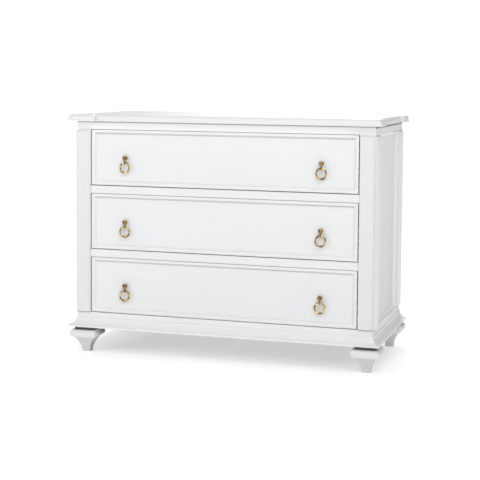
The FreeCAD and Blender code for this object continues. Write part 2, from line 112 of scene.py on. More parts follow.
# The knob, in millimetres: its foot's rings behind the field's face, and its stem's upper rings
KNOB_FOOT = ((0.3, 6.6), (-0.7, 6.6), (-1.3, 6.0), (-1.6, 4.6), (-2.6, 4.0))
KNOB_STEM = ((-6.2, 2.6), (-7.6, 2.3))
STEM_START = -8.6 * MM
STEM_BITE = 0.3 * MM
KNOB_REACH = 16.5 * MM
KNOB_HALF_DEPTH = 6.9 * MM
KNOB_TIP = 0.35 * MM
EYE_BREADTH = 1.9

# The ring's narrowing, and where and how far it is fuller below
RING_NARROWING = 0.965
GRIP_START = 0.55
GRIP_EXTRA = 0.12 * MM

# The screws in the back
SCREW_HEIGHT = 1.2 * MM
SCREW_RIM = 0.93
SCREW_RISE = 0.35 * MM
SCREW_DOME = 0.72
SLOT_HALF = 0.45 * MM
SLOT_INSIDE = 0.4 * MM
SLOT_DEPTH = 0.6 * MM
SCREW_INSET = 9 * MM
SCREW_SPACES = 5
NEARLY = 0.01 * MM

# The stage: each light's place, aim, size and colour, and where the floor's own light changes
KEY_LIGHT = ((1.5, -3.3, 3.5), (0, 0, 0.45), 3.0, (0.985, 0.993, 1.0))
BACK_LIGHT = ((-0.6, 3.4, 3.2), (0, 0, 0.8), 1.5, (1.0, 1.0, 1.0))
SMALL_LIGHT = ((-2.9, -3.0, 1.6), (0, 0, 0.45), 0.35, (1.0, 0.985, 0.96))
FLOOR_SIZE = 60
GLOW_START, GLOW_MIDDLE, GLOW_END = 0.7, 2.6, 6.0
GLOW_GAIN = 0.4
GLOW_TINT = (0.99, 1.0, 1.006)
ROOM_COLOUR = (0.995, 1.0, 1.0, 1.0)
BACKDROP_COLOUR = (1.0, 1.0, 1.0, 1.0)
BACKDROP_STRENGTH = 1.05


class CommodeSizes(bpy.types.PropertyGroup):
    """Sizes that the finishing adds to the built part."""

    arris: FloatProperty(
        name="Eased edge", description="Width of the rounding along the painted edges",
        default=0.8 * MM, min=0.1 * MM, max=2 * MM, unit="LENGTH", precision=4)
    moulding_arris: FloatProperty(
        name="Moulding edge", description="Width of the rounding along the side mouldings' edges",
        default=0.2 * MM, min=0.1 * MM, max=1 * MM, unit="LENGTH", precision=4)
    drawer_arris: FloatProperty(
        name="Drawer edge", description="Width of the rounding along the drawer fronts' edges",
        default=1.0 * MM, min=0.1 * MM, max=2 * MM, unit="LENGTH", precision=4)
    box_arris: FloatProperty(
        name="Bare edge", description="Width of the rounding along the bare wood's edges",
        default=0.7 * MM, min=0.1 * MM, max=2 * MM, unit="LENGTH", precision=4)
    rove_arris: FloatProperty(
        name="Rove edge", description="Width of the rounding along the roves' edges",
        default=0.3 * MM, min=0.1 * MM, max=1 * MM, unit="LENGTH", precision=4)
    head_radius: FloatProperty(
        name="Knob radius", description="Radius of the knob's ball at its widest",
        default=8.1 * MM, min=5 * MM, max=9 * MM, unit="LENGTH", precision=4)
    stem_radius: FloatProperty(
        name="Stem radius", description="Radius of the stem that drops from the knob to its eye",
        default=1.9 * MM, min=1 * MM, max=2.2 * MM, unit="LENGTH", precision=4)
    eye_radius: FloatProperty(
        name="Eye radius", description="Middle radius of the eye that the ring hangs in",
        default=4.35 * MM, min=4 * MM, max=5 * MM, unit="LENGTH", precision=4)
    eye_wire: FloatProperty(
        name="Eye wire", description="Half the width of the eye's metal, across its hole",
        default=1.05 * MM, min=0.5 * MM, max=1.3 * MM, unit="LENGTH", precision=4)
    ring_radius: FloatProperty(
        name="Ring radius", description="Radius of the pull ring at the middle of its wire",
        default=17.2 * MM, min=14 * MM, max=18 * MM, unit="LENGTH", precision=4)
    ring_wire: FloatProperty(
        name="Ring wire", description="Radius of the pull ring's wire",
        default=2.75 * MM, min=1.5 * MM, max=2.9 * MM, unit="LENGTH", precision=4)
    ring_turn: FloatProperty(
        name="Turned ring", description="How far the top left ring hangs turned in its eye",
        default=math.radians(6), min=0, max=math.radians(6.5), subtype="ANGLE")
    screw_radius: FloatProperty(
        name="Screw head", description="Radius of the screw heads in the back",
        default=3.6 * MM, min=2 * MM, max=6 * MM, unit="LENGTH", precision=4)


class CommodeFinish(bpy.types.PropertyGroup):
    """Colours of the paint, the bare wood and the brass."""

    paint: FloatVectorProperty(
        name="Paint", description="The off-white satin lacquer",
        subtype="COLOR", default=(0.839, 0.843, 0.851), min=0, max=1)
    # glazing that settled in the corners, together with painted shade there
    corner_glaze_and_shade: FloatVectorProperty(
        name="Glaze and shade", description="What has settled in the corners of the mouldings",
        subtype="COLOR", default=(0.50, 0.46, 0.41), min=0, max=1)
    rubbed: FloatVectorProperty(
        name="Rubbed edge", description="The ground that shows where an edge is rubbed through",
        subtype="COLOR", default=(0.44, 0.35, 0.25), min=0, max=1)
    sapwood: FloatVectorProperty(
        name="Pale grain", description="The bare wood between its darker lines",
        subtype="COLOR", default=(0.56, 0.455, 0.335), min=0, max=1)
    latewood: FloatVectorProperty(
        name="Dark grain", description="The darker lines of the bare wood",
        subtype="COLOR", default=(0.38, 0.275, 0.175), min=0, max=1)
    underside: FloatVectorProperty(
        name="Undersides", description="The grey, unplaned undersides of the bare wood",
        subtype="COLOR", default=(0.43, 0.42, 0.41), min=0, max=1)
    brass: FloatVectorProperty(
        name="Brass", description="The polished brass of the pulls",
        subtype="COLOR", default=(0.84, 0.56, 0.21), min=0, max=1)
    tarnish: FloatVectorProperty(
        name="Tarnish", description="The darkened brass in the hollows",
        subtype="COLOR", default=(0.16, 0.085, 0.025), min=0, max=1)


class CommodeStage(bpy.types.PropertyGroup):
    """The floor, the lights and the camera."""

    floor: FloatVectorProperty(
        name="Floor", description="The pale floor",
        subtype="COLOR", default=(0.80, 0.80, 0.80), min=0, max=1)
    glow_near: FloatProperty(
        name="Floor light", description="How much the floor shines by itself round the chest",
        default=0.39, min=0, max=2)
    glow_far: FloatProperty(
        name="Backdrop light", description="How much the floor shines by itself far from the chest",
        default=0.35, min=0, max=2)
    sky_back: FloatProperty(
        name="Light from behind", description="Brightness of the room behind the chest",
        default=0.24, min=0, max=4)
    sky_top: FloatProperty(
        name="Light from above", description="Brightness of the ceiling",
        default=0.56, min=0, max=4)
    key: FloatProperty(
        name="Key light", description="Power of the large soft light at the upper right",
        default=94.0, min=0, max=1000, subtype="POWER")
    fill: FloatProperty(
        name="Small light", description="Power of the small light from the left",
        default=28.0, min=0, max=500, subtype="POWER")
    back: FloatProperty(
        name="Back light", description="Power of the light behind the chest, which whitens the top",
        default=86.0, min=0, max=500, subtype="POWER")
    eye: FloatVectorProperty(
        name="Camera place", description="Where the camera stands",
        subtype="TRANSLATION", default=(1.23177, -4.04075, 0.93509))
    yaw: FloatProperty(
        name="Camera yaw", description="How far the camera looks to the left",
        subtype="ANGLE", default=math.radians(17.0353))
    pitch: FloatProperty(
        name="Camera pitch", description="How far the camera looks up",
        subtype="ANGLE", default=math.radians(-3.8198))
    roll: FloatProperty(
        name="Camera roll", description="How far the camera leans",
        subtype="ANGLE", default=math.radians(0.4540))
    lens: FloatProperty(
        name="Lens", description="Focal length in millimetres", default=92.621, min=20, max=300)
    shift: FloatProperty(
        name="Lens shift", description="How far the picture is moved down behind the lens",
        default=-0.16667)


# Node trees

def node(tree, kind, values=None, **settings):
    """A new shader node with its settings, and its inputs set or linked."""
    made = tree.nodes.new("ShaderNode" + kind)
    for key, value in settings.items():
        setattr(made, key, value)
    for key, value in (values or {}).items():
        if isinstance(value, bpy.types.NodeSocket):
            tree.links.new(value, made.inputs[key])
        else:
            made.inputs[key].default_value = value
    return made


def math_node(tree, operation, first, second=0.5, clamp=False):
    """The value of one sum."""
    made = node(tree, "Math", {0: first, 1: second}, operation=operation, use_clamp=clamp)
    return made.outputs[0]


def times(tree, first, second):
    """Two values multiplied."""
    return math_node(tree, "MULTIPLY", first, second)


def mix_colours(tree, factor, first, second):
    """The colour between two colours."""
    made = node(tree, "Mix", {0: factor}, data_type="RGBA")
    for socket, value in ((made.inputs[6], first), (made.inputs[7], second)):
        if isinstance(value, bpy.types.NodeSocket):
            tree.links.new(value, socket)
        else:
            socket.default_value = (*value, 1.0)
    return made.outputs[2]


def ramp(tree, value, low, high, to_low=0.0, to_high=1.0):
    """A value stretched from one range to another and kept inside it."""
    made = node(tree, "MapRange", {
        "Value": value, "From Min": low, "From Max": high, "To Min": to_low, "To Max": to_high})
    return made.outputs["Result"]


def noise(tree, vector, scale, detail, roughness=0.5):
    """The value of a noise texture."""
    made = node(tree, "TexNoise", {
        "Vector": vector, "Scale": scale, "Detail": detail, "Roughness": roughness})
    return made.outputs["Fac"]


def coordinates(tree):
    """Where a point lies."""
    return node(tree, "TexCoord").outputs["Object"]


def stretched(tree, stretch):
    """Where a point lies, stretched axis by axis."""
    made = node(tree, "VectorMath", {0: coordinates(tree), 1: stretch}, operation="MULTIPLY")
    return made.outputs[0]


def place_of(tree):
    """Where a point lies, axis by axis."""
    return node(tree, "SeparateXYZ", {0: coordinates(tree)}).outputs


def facing_of(tree):
    """Which way a face looks, axis by axis."""
    return node(tree, "SeparateXYZ", {0: node(tree, "NewGeometry").outputs["Normal"]}).outputs


# Shared effects

def node_group(name, inputs, outputs):
    """An empty node group with its named sockets, with the sockets inside it."""
    group = bpy.data.node_groups.new(name, "ShaderNodeTree")
    for label, kind, default in inputs:
        socket = group.interface.new_socket(label, in_out="INPUT", socket_type=kind)
        socket.default_value = default
    for label, kind in outputs:
        group.interface.new_socket(label, in_out="OUTPUT", socket_type=kind)
    given = group.nodes.new("NodeGroupInput").outputs
    return group, given, group.nodes.new("NodeGroupOutput").inputs


def brush_group():
    """Long brush strokes in the paint, and slow clouds of tone."""
    group, given, out = node_group(
        "brush strokes",
        (("Stretch", "NodeSocketVector", ACROSS),),
        (("Strokes", "NodeSocketFloat"), ("Clouds", "NodeSocketFloat")))
    along = stretched(group, given["Stretch"])
    group.links.new(noise(group, along, 0.35, 5.0, 0.62), out["Strokes"])
    group.links.new(noise(group, along, 0.02, 2.0), out["Clouds"])
    return group


def crevice_group():
    """Close corners, broken up a little: where dust, glazing and tarnish settle, and where shade
    falls.
    """
    group, given, out = node_group(
        "crevices",
        (("Reach", "NodeSocketFloat", 0.008), ("Start", "NodeSocketFloat", 0.25)),
        (("Mask", "NodeSocketFloat"),))
    open_sky = node(group, "AmbientOcclusion", {"Distance": given["Reach"]}, samples=8)
    closed = math_node(group, "SUBTRACT", 1.0, open_sky.outputs["AO"])
    broken = noise(group, coordinates(group), 90.0, 3.0)
    closed = times(group, closed, ramp(group, broken, 0.25, 0.75, 0.75, 1.15))
    group.links.new(ramp(group, closed, given["Start"], 1.0), out["Mask"])
    return group


def rub_group():
    """Where hands and brooms rub: the outer edges, in patches."""
    group, given, out = node_group(
        "rubbed edges",
        (("Width", "NodeSocketFloat", 0.0015), ("Patches", "NodeSocketFloat", 0.5)),
        (("Mask", "NodeSocketFloat"),))
    rounded = node(group, "Bevel", {"Radius": given["Width"]}, samples=6).outputs[0]
    flat = node(group, "NewGeometry").outputs["Normal"]
    turn = node(group, "VectorMath", {0: rounded, 1: flat}, operation="DOT_PRODUCT")
    edge = math_node(group, "SUBTRACT", 1.0, turn.outputs["Value"])
    patches = noise(group, coordinates(group), 55.0, 4.0, 0.65)
    full = math_node(group, "ADD", given["Patches"], 0.14)
    patches = ramp(group, patches, given["Patches"], full)
    group.links.new(times(group, ramp(group, edge, 0.02, 0.20), patches), out["Mask"])
    return group


def grain_group():
    """Grain lines and pores of bare wood."""
    group, given, out = node_group(
        "wood grain",
        (("Stretch", "NodeSocketVector", ACROSS),),
        (("Lines", "NodeSocketFloat"), ("Pores", "NodeSocketFloat")))
    along = stretched(group, given["Stretch"])
    waver = node(group, "TexNoise", {"Vector": along, "Scale": 0.03, "Detail": 3.0})
    bent = node(
        group, "VectorMath", {0: waver.outputs["Color"], 1: (30.0, 30.0, 30.0), 2: along},
        operation="MULTIPLY_ADD")
    lines = noise(group, bent.outputs[0], 0.075, 6.0, 0.55)
    pores = noise(group, along, 1.1, 2.0)
    group.links.new(ramp(group, lines, 0.36, 0.66), out["Lines"])
    group.links.new(ramp(group, pores, 0.56, 0.72), out["Pores"])
    return group


def sideways_group():
    """Faces that look to the left or to the right."""
    group, _, out = node_group("sideways faces", (), (("Mask", "NodeSocketFloat"),))
    aside = math_node(group, "ABSOLUTE", facing_of(group)["X"])
    group.links.new(ramp(group, aside, 0.55, 0.80), out["Mask"])
    return group


def underside_group():
    """Faces that look down."""
    group, _, out = node_group("undersides", (), (("Mask", "NodeSocketFloat"),))
    group.links.new(ramp(group, facing_of(group)["Z"], -0.4, -0.8), out["Mask"])
    return group


def under_top_group():
    """Paint painted lighter under the top's overhang, and a painted shadow line that is wider on
    the sides.
    """
    group, given, out = node_group(
        "under the top",
        (("Paint", "NodeSocketColor", (0.8, 0.8, 0.8, 1.0)),
         ("Painted Light", "NodeSocketColor", (*UNDER_TOP_PAINTED_LIGHT, 1.0)),
         ("Line", "NodeSocketColor", (*UNDER_TOP_PAINTED_SHADOW, 1.0))),
        (("Colour", "NodeSocketColor"),))
    height = place_of(group)["Z"]
    aside = effect(group, "sideways faces", sideways_group)["Mask"]
    # painted light: the paint is painted lighter in a band up under the top's overhang
    painted_light_band = ramp(group, height, FRIEZE_FOOT - 3.5 * MM, FRIEZE_FOOT + 0.5 * MM)
    tone = mix_colours(group, painted_light_band, given["Paint"], given["Painted Light"])
    lifted = math_node(group, "ADD", height, times(group, aside, 3.5 * MM))
    # painted shadow: a dark line under the top's edge, wider on the sideways faces
    line = ramp(group, lifted, TOP_UNDERSIDE - 5.0 * MM, TOP_UNDERSIDE - 3.4 * MM)
    line = times(group, line, ramp(group, aside, 0.0, 1.0, 0.6, 0.9))
    group.links.new(mix_colours(group, line, tone, given["Line"]), out["Colour"])
    return group


def tarnish_group():
    """Blotches and fine scuffs on handled metal."""
    group, given, out = node_group(
        "tarnish",
        (("Blotch Scale", "NodeSocketFloat", 160.0), ("Scuff Scale", "NodeSocketFloat", 1500.0)),
        (("Blotches", "NodeSocketFloat"), ("Scuffs", "NodeSocketFloat")))
    place = coordinates(group)
    group.links.new(noise(group, place, given["Blotch Scale"], 4.0, 0.6), out["Blotches"])
    group.links.new(noise(group, place, given["Scuff Scale"], 3.0), out["Scuffs"])
    return group


def effect(tree, name, maker, values=None):
    """A shared node group, built once, placed in a tree with its own values."""
    group = bpy.data.node_groups.get(name) or maker()
    return node(tree, "Group", values, node_tree=group).outputs


# Materials

def new_material(name):
    """A material with an empty Principled shader."""
    material = bpy.data.materials.new(name)
    material.use_nodes = True
    tree = material.node_tree
    tree.nodes.clear()
    shader = node(tree, "BsdfPrincipled")
    tree.links.new(shader.outputs[0], node(tree, "OutputMaterial").inputs["Surface"])
    return material, tree, shader


def roughen(tree, shader, height, strength, distance):
    """Raises a height on the surface."""
    bump = node(tree, "Bump", {"Height": height, "Strength": strength, "Distance": distance})
    tree.links.new(bump.outputs[0], shader.inputs["Normal"])


def foot_painted_shade(tree, tone):
    """Brownish painted shade on the feet: in the neck, under the roll and on the inward faces."""
    place = place_of(tree)
    low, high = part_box("foot_front_left")
    # painted shade on the inward faces, darkest high up under the base
    inward = ramp(tree, times(tree, place["X"], facing_of(tree)["X"]), -0.26, -0.42)
    behind = ramp(tree, place["Y"], low[1] + 10 * MM, high[1] - 35 * MM, 0.12, 0.92)
    below = ramp(tree, place["Z"], FOOT_ROLL + 1.5 * MM, FOOT_ROLL - 3.5 * MM, 0.0, 0.80)
    neck = ramp(tree, place["Z"], FOOT_NECK - 1 * MM, FOOT_NECK + 1 * MM, 0.0, 0.92)
    inward_painted_shade = mix_colours(tree, ramp(tree, place["Z"], 15 * MM, 75 * MM), FOOT_INWARD_PAINTED_SHADE_LOW, FOOT_INWARD_PAINTED_SHADE_HIGH)
    tone = mix_colours(tree, below, tone, FOOT_UNDER_ROLL_PAINTED_SHADE)
    tone = mix_colours(tree, times(tree, inward, behind), tone, inward_painted_shade)
    return mix_colours(tree, neck, tone, NECK_PAINTED_SHADE)


def pilaster_painted_shadow_and_light(tree, tone):
    """A painted shadow line at the pilasters' feet, and paint painted lighter on the side boards.
    """
    aside = effect(tree, "sideways faces", sideways_group)["Mask"]
    # painted shadow line at the pilasters' feet, and painted light on their sideways faces
    line = ramp(tree, place_of(tree)["Z"], BASE_TOP + 3.5 * MM, BASE_TOP + 1.5 * MM)
    return mix_colours(tree, line, mix_colours(tree, aside, tone, PILASTER_SIDE_PAINTED_LIGHT), PILASTER_FOOT_PAINTED_SHADOW)


def frieze_painted_light_and_shadow(tree, tone):
    """Painted light and a painted shadow line on the paint close under the top."""
    return effect(tree, "under the top", under_top_group, {"Paint": tone})["Colour"]


def panel_painted_shade(tree, tone):
    """Painted shade on the side panels, darker towards the floor."""
    return mix_colours(tree, ramp(tree, place_of(tree)["Z"], 0.74, 0.17), tone, PANEL_PAINTED_SHADE)


def drawer_painted_shade(tree, tone):
    """Grey painted shade on the upper and right-hand slopes round the drawers' fields."""
    facing = facing_of(tree)
    forward = ramp(tree, facing["Y"], -0.22, -0.45, 0.0, 0.85)
    # painted shade on the slopes that face down and the slopes that face left
    for axis, colour in (("Z", SLOPE_UPPER_PAINTED_SHADE), ("X", SLOPE_RIGHT_PAINTED_SHADE)):
        slope = times(tree, ramp(tree, facing[axis], -0.25, -0.50), forward)
        tone = mix_colours(tree, slope, tone, colour)
    return tone


def paint(name, stretch, rub=0.15, patches=0.56, depth=1.0, painted_shading=None):
    """Satin off-white paint, brushed along the piece, with glazing and painted shade in corners and
    rubbed on edges; depth paints some pieces lighter or darker as painted light and painted shade.
    """
    if name in bpy.data.materials:
        return bpy.data.materials[name]
    finish = bpy.context.scene.commode_finish
    material, tree, shader = new_material(name)
    brush = effect(tree, "brush strokes", brush_group, {"Stretch": stretch})
    corner = effect(tree, "crevices", crevice_group, {"Reach": 0.009, "Start": 0.30})["Mask"]
    worn = effect(tree, "rubbed edges", rub_group, {"Width": 0.0018, "Patches": patches})["Mask"]
    base = Vector(finish.paint) * depth
    dull, bright = base * 0.985, base * 1.008
    tone = mix_colours(tree, ramp(tree, brush["Strokes"], 0.3, 0.7), dull, bright)
    tone = mix_colours(tree, ramp(tree, brush["Clouds"], 0.3, 0.7, 0.0, 0.5), tone, dull)
    # glazing and painted shade in close corners
    tone = mix_colours(tree, times(tree, corner, 0.40), tone, finish.corner_glaze_and_shade)
    tone = mix_colours(tree, times(tree, worn, rub), tone, finish.rubbed)
    if painted_shading:
        tone = painted_shading(tree, tone)
    gloss = ramp(tree, brush["Strokes"], 0.25, 0.75, 0.36, 0.46)
    tree.links.new(tone, shader.inputs["Base Color"])
    tree.links.new(gloss, shader.inputs["Roughness"])
    roughen(tree, shader, brush["Strokes"], 0.10, 0.6 * MM)
    return material


def bare_wood(name, stretch):
    """Planed, unpainted wood with its grain along the piece."""
    if name in bpy.data.materials:
        return bpy.data.materials[name]
    finish = bpy.context.scene.commode_finish
    material, tree, shader = new_material(name)
    grain = effect(tree, "wood grain", grain_group, {"Stretch": stretch})
    corner = effect(tree, "crevices", crevice_group, {"Reach": 0.02, "Start": 0.35})["Mask"]
    below = effect(tree, "undersides", underside_group)["Mask"]
    dark = Vector(finish.latewood) * 0.55
    tone = mix_colours(tree, grain["Lines"], finish.sapwood, finish.latewood)
    tone = mix_colours(tree, times(tree, grain["Pores"], 0.35), tone, dark)
    # darker in close corners: painted shade
    tone = mix_colours(tree, times(tree, corner, 0.45), tone, dark)
    tone = mix_colours(tree, times(tree, below, 0.85), tone, finish.underside)
    gloss = ramp(tree, grain["Lines"], 0.0, 1.0, 0.62, 0.50)
    height = math_node(tree, "SUBTRACT", times(tree, grain["Lines"], 0.4), grain["Pores"])
    tree.links.new(tone, shader.inputs["Base Color"])
    tree.links.new(gloss, shader.inputs["Roughness"])
    roughen(tree, shader, height, 0.20, 0.6 * MM)
    return material


def brass(name, polish, dark, depth=1.0, blotch=160.0):
    """Brass that is bright where it is handled and tarnished in its hollows."""
    if name in bpy.data.materials:
        return bpy.data.materials[name]
    finish = bpy.context.scene.commode_finish
    material, tree, shader = new_material(name)
    shader.inputs["Metallic"].default_value = 1.0
    corner = effect(tree, "crevices", crevice_group, {"Reach": 0.010, "Start": 0.20})["Mask"]
    marks = effect(tree, "tarnish", tarnish_group, {"Blotch Scale": blotch})
    bright = Vector(finish.brass) * depth
    tone = mix_colours(tree, ramp(tree, marks["Blotches"], 0.42, 0.60), bright, bright * dark)
    tone = mix_colours(tree, corner, tone, finish.tarnish)
    gloss = ramp(tree, marks["Blotches"], 0.3, 0.75, polish, polish + 0.16)
    tree.links.new(tone, shader.inputs["Base Color"])
    tree.links.new(gloss, shader.inputs["Roughness"])
    roughen(tree, shader, marks["Scuffs"], 0.05, 0.2 * MM)
    return material


def dull_brass():
    """The brass of the roves and screws, which nobody handles."""
    return brass("dull brass", 0.38, 0.6)


# Modelling by hand

def choose(*pieces):
    """Only these pieces are selected, and the first is active."""
    bpy.ops.object.select_all(action="DESELECT")
    for piece in pieces:
        piece.select_set(True)
    bpy.context.view_layer.objects.active = pieces[0]


def edit():
    """Edit mode with everything selected."""
    bpy.ops.object.mode_set(mode="EDIT")
    bpy.ops.mesh.select_all(action="SELECT")


def leave_edit():
    """Back to object mode."""
    bpy.ops.object.mode_set(mode="OBJECT")


def select_points(piece, test):
    """Selects the points that a test picks, by their place."""
    leave_edit()
    for group in (piece.data.polygons, piece.data.edges):
        group.foreach_set("select", [False] * len(group))
    piece.data.vertices.foreach_set("select", [test(point.co) for point in piece.data.vertices])
    bpy.ops.object.mode_set(mode="EDIT")
    bpy.ops.mesh.select_mode(type="VERT")


def settle(piece, name):
    """Puts a new piece's place into its mesh and names it."""
    choose(piece)
    bpy.ops.object.transform_apply(location=True, rotation=True, scale=True)
    piece.name = name
    piece.data.name = name
    return piece


def remove(piece):
    """Deletes a pattern that was only copied from."""
    choose(piece)
    bpy.ops.object.delete()


def smooth(piece, sharp):
    """Shades a piece smooth, apart from edges sharper than an angle."""
    choose(piece)
    bpy.ops.object.shade_smooth_by_angle(angle=math.radians(sharp))


def apply_modifier(piece, kind, **settings):
    """Adds one modifier and applies it."""
    modifier = piece.modifiers.new(kind.title(), kind)
    for key, value in settings.items():
        setattr(modifier, key, value)
    choose(piece)
    bpy.ops.object.modifier_apply(modifier=modifier.name)


def coat(piece, material):
    """One material all over."""
    piece.data.materials.clear()
    piece.data.materials.append(material)


def merged_copy(name):
    """A copy of a built piece with its triangles joined into whole faces."""
    piece = bpy.data.objects.new(name + "_finished", frame["nodes"][name].data.copy())
    bpy.context.scene.collection.objects.link(piece)
    choose(piece)
    if piece.data.has_custom_normals:
        bpy.ops.mesh.customdata_custom_splitnormals_clear()
    edit()
    bpy.ops.mesh.remove_doubles(threshold=0.01 * MM)
    bpy.ops.mesh.dissolve_limited(angle_limit=math.radians(0.6))
    leave_edit()
    return piece


def eased(name, material, width, sharp=SHARP):
    """A finished copy of a built piece with its edges eased by a few strokes of sandpaper."""
    piece = merged_copy(name)
    apply_modifier(piece, "BEVEL", width=width, segments=2, limit_method="ANGLE",
                   angle_limit=math.radians(sharp), use_clamp_overlap=True, harden_normals=False)
    smooth(piece, sharp)
    apply_modifier(piece, "WEIGHTED_NORMAL", keep_sharp=True)
    coat(piece, material)
    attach(piece, BODY[name])
    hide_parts(name)
    return piece


def turned(rings, axis, centre, segments, name):
    """A turned shape: a circle extruded and resized along an axis; a ring is (place, radius)."""
    def along(distance, others):
        return [distance if index == axis else other for index, other in enumerate(others)]

    place, radius = rings[0]
    tilt = math.pi / 2 if axis == 1 else 0
    bpy.ops.object.select_all(action="DESELECT")
    bpy.ops.mesh.primitive_circle_add(
        vertices=segments, radius=radius, fill_type="NGON",
        location=along(place, centre), rotation=(tilt, 0, 0))
    piece = settle(bpy.context.object, name)
    edit()
    for after, wider in rings[1:]:
        step = along(after - place, (0, 0, 0))
        bpy.ops.mesh.extrude_region_move(TRANSFORM_OT_translate={"value": step})
        bpy.ops.transform.resize(
            value=along(1, [wider / radius] * 3), center_override=along(after, centre))
        place, radius = after, wider
    bpy.ops.mesh.select_all(action="SELECT")
    bpy.ops.mesh.normals_make_consistent(inside=False)
    leave_edit()
    return piece


def wire_ring(radius, wire, segments, centre, rotation, name):
    """A ring of round wire; segments round the ring and round the wire."""
    bpy.ops.object.select_all(action="DESELECT")
    bpy.ops.mesh.primitive_torus_add(
        major_segments=segments[0], minor_segments=segments[1],
        major_radius=radius, minor_radius=wire, location=centre, rotation=rotation)
    return settle(bpy.context.object, name)


def joined(pieces, name):
    """Several pieces as one object."""
    choose(*pieces)
    bpy.ops.object.join()
    piece = bpy.context.object
    piece.name = name
    piece.data.name = name
    return piece


def moved_copy(piece, place, name):
    """A copy with its own mesh, moved in the mesh."""
    made = bpy.data.objects.new(name, piece.data.copy())
    bpy.context.scene.collection.objects.link(made)
    choose(made)
    edit()
    bpy.ops.transform.translate(value=place)
    leave_edit()
    return made


# Steps

class CommodeTop(bpy.types.Operator):
    """Finish the top with its moulded edge and stepped corners"""

    bl_idname = "commode.top"
    bl_label = "Top"

    def execute(self, context):
        width = context.scene.commode_sizes.arris
        eased("top_board", paint("paint across", ACROSS), width)
        return {"FINISHED"}


class CommodeCase(bpy.types.Operator):
    """Finish the posts, pilasters, friezes, rails, sills and side panels"""

    bl_idname = "commode.case"
    bl_label = "Case"

    def execute(self, context):
        width = context.scene.commode_sizes.arris
        narrow = width * 0.5
        # depth paints these copies of one paint lighter or darker: painted light and painted shade
        panels = paint("paint on the side panels", UPRIGHT, depth=1.025, painted_shading=panel_painted_shade)
        posts = paint("paint on the posts", UPRIGHT, painted_shading=frieze_painted_light_and_shadow)
        pilasters = paint("paint on the pilasters", UPRIGHT, depth=0.945, painted_shading=pilaster_painted_shadow_and_light)
        front = paint("paint on the frieze", ACROSS, painted_shading=frieze_painted_light_and_shadow)
        friezes = paint("paint on the side friezes", DEEP, painted_shading=frieze_painted_light_and_shadow)
        eased("frieze_front", front, narrow)
        for name in ("rail_upper", "rail_lower"):
            eased(name, paint("paint across", ACROSS), narrow)
        for side in SIDES:
            for name in ("post_front_", "post_back_"):
                eased(name + side, posts, width)
            eased("side_panel_" + side, panels, width)
            eased("pilaster_" + side, pilasters, width)
            eased("frieze_" + side, friezes, narrow)
            eased("sill_" + side, paint("paint deep", DEEP), narrow)
        return {"FINISHED"}


class CommodeSideMouldings(bpy.types.Operator):
    """Finish the mitred mouldings round the side panels"""

    bl_idname = "commode.side_mouldings"
    bl_label = "Side mouldings"

    def execute(self, context):
        width = context.scene.commode_sizes.moulding_arris
        # depth paints the mouldings lighter: painted light
        sticks = paint("paint on the mouldings", UPRIGHT, depth=1.045)
        for side in SIDES:
            eased("side_moulding_" + side, sticks, width, SHARP_MOULDING)
        return {"FINISHED"}


class CommodeBase(bpy.types.Operator):
    """Finish the moulded base and the four shaped feet"""

    bl_idname = "commode.base"
    bl_label = "Base and feet"

    def execute(self, context):
        width = context.scene.commode_sizes.arris
        # depth paints the base lighter and the feet darker: painted light and painted shade
        front = paint("paint on the base", ACROSS, depth=1.04)
        feet = paint(
            "paint on the feet", UPRIGHT, rub=0.75, patches=0.46, depth=0.96, painted_shading=foot_painted_shade)
        eased("base_front", front, width)
        for side in SIDES:
            eased("base_" + side, paint("paint deep", DEEP), width)
            for end in ("front", "back"):
                eased("foot_%s_%s" % (end, side), feet, width)
        return {"FINISHED"}


class CommodeDrawers(bpy.types.Operator):
    """Finish the drawer fronts and the bare drawer boxes behind them"""

    bl_idname = "commode.drawers"
    bl_label = "Drawers"

    def execute(self, context):
        sizes = context.scene.commode_sizes
        fronts = paint("paint on the drawers", ACROSS, painted_shading=drawer_painted_shade)
        deep = bare_wood("bare wood deep", DEEP)
        across = bare_wood("bare wood across", ACROSS)
        for level in LEVELS:
            eased("drawer_front_" + level, fronts, sizes.drawer_arris, SHARP_DRAWER)
            for name in ("drawer_side_left_", "drawer_side_right_", "drawer_bottom_"):
                eased(name + level, deep, sizes.box_arris)
            eased("drawer_back_" + level, across, sizes.box_arris)
        return {"FINISHED"}


class CommodeInnerFrame(bpy.types.Operator):
    """Finish the bare wood inside and behind the case"""

    bl_idname = "commode.inner_frame"
    bl_label = "Inner frame"

    def execute(self, context):
        width = context.scene.commode_sizes.box_arris
        for name in ("frieze_back", "base_back"):
            eased(name, bare_wood("bare wood across", ACROSS), width)
        for name in ("back_panel", "corner_blocks"):
            eased(name, bare_wood("bare wood upright", UPRIGHT), width)
        for name in ("drawer_runners", "kickers", "top_buttons"):
            eased(name, bare_wood("bare wood deep", DEEP), width)
        return {"FINISHED"}


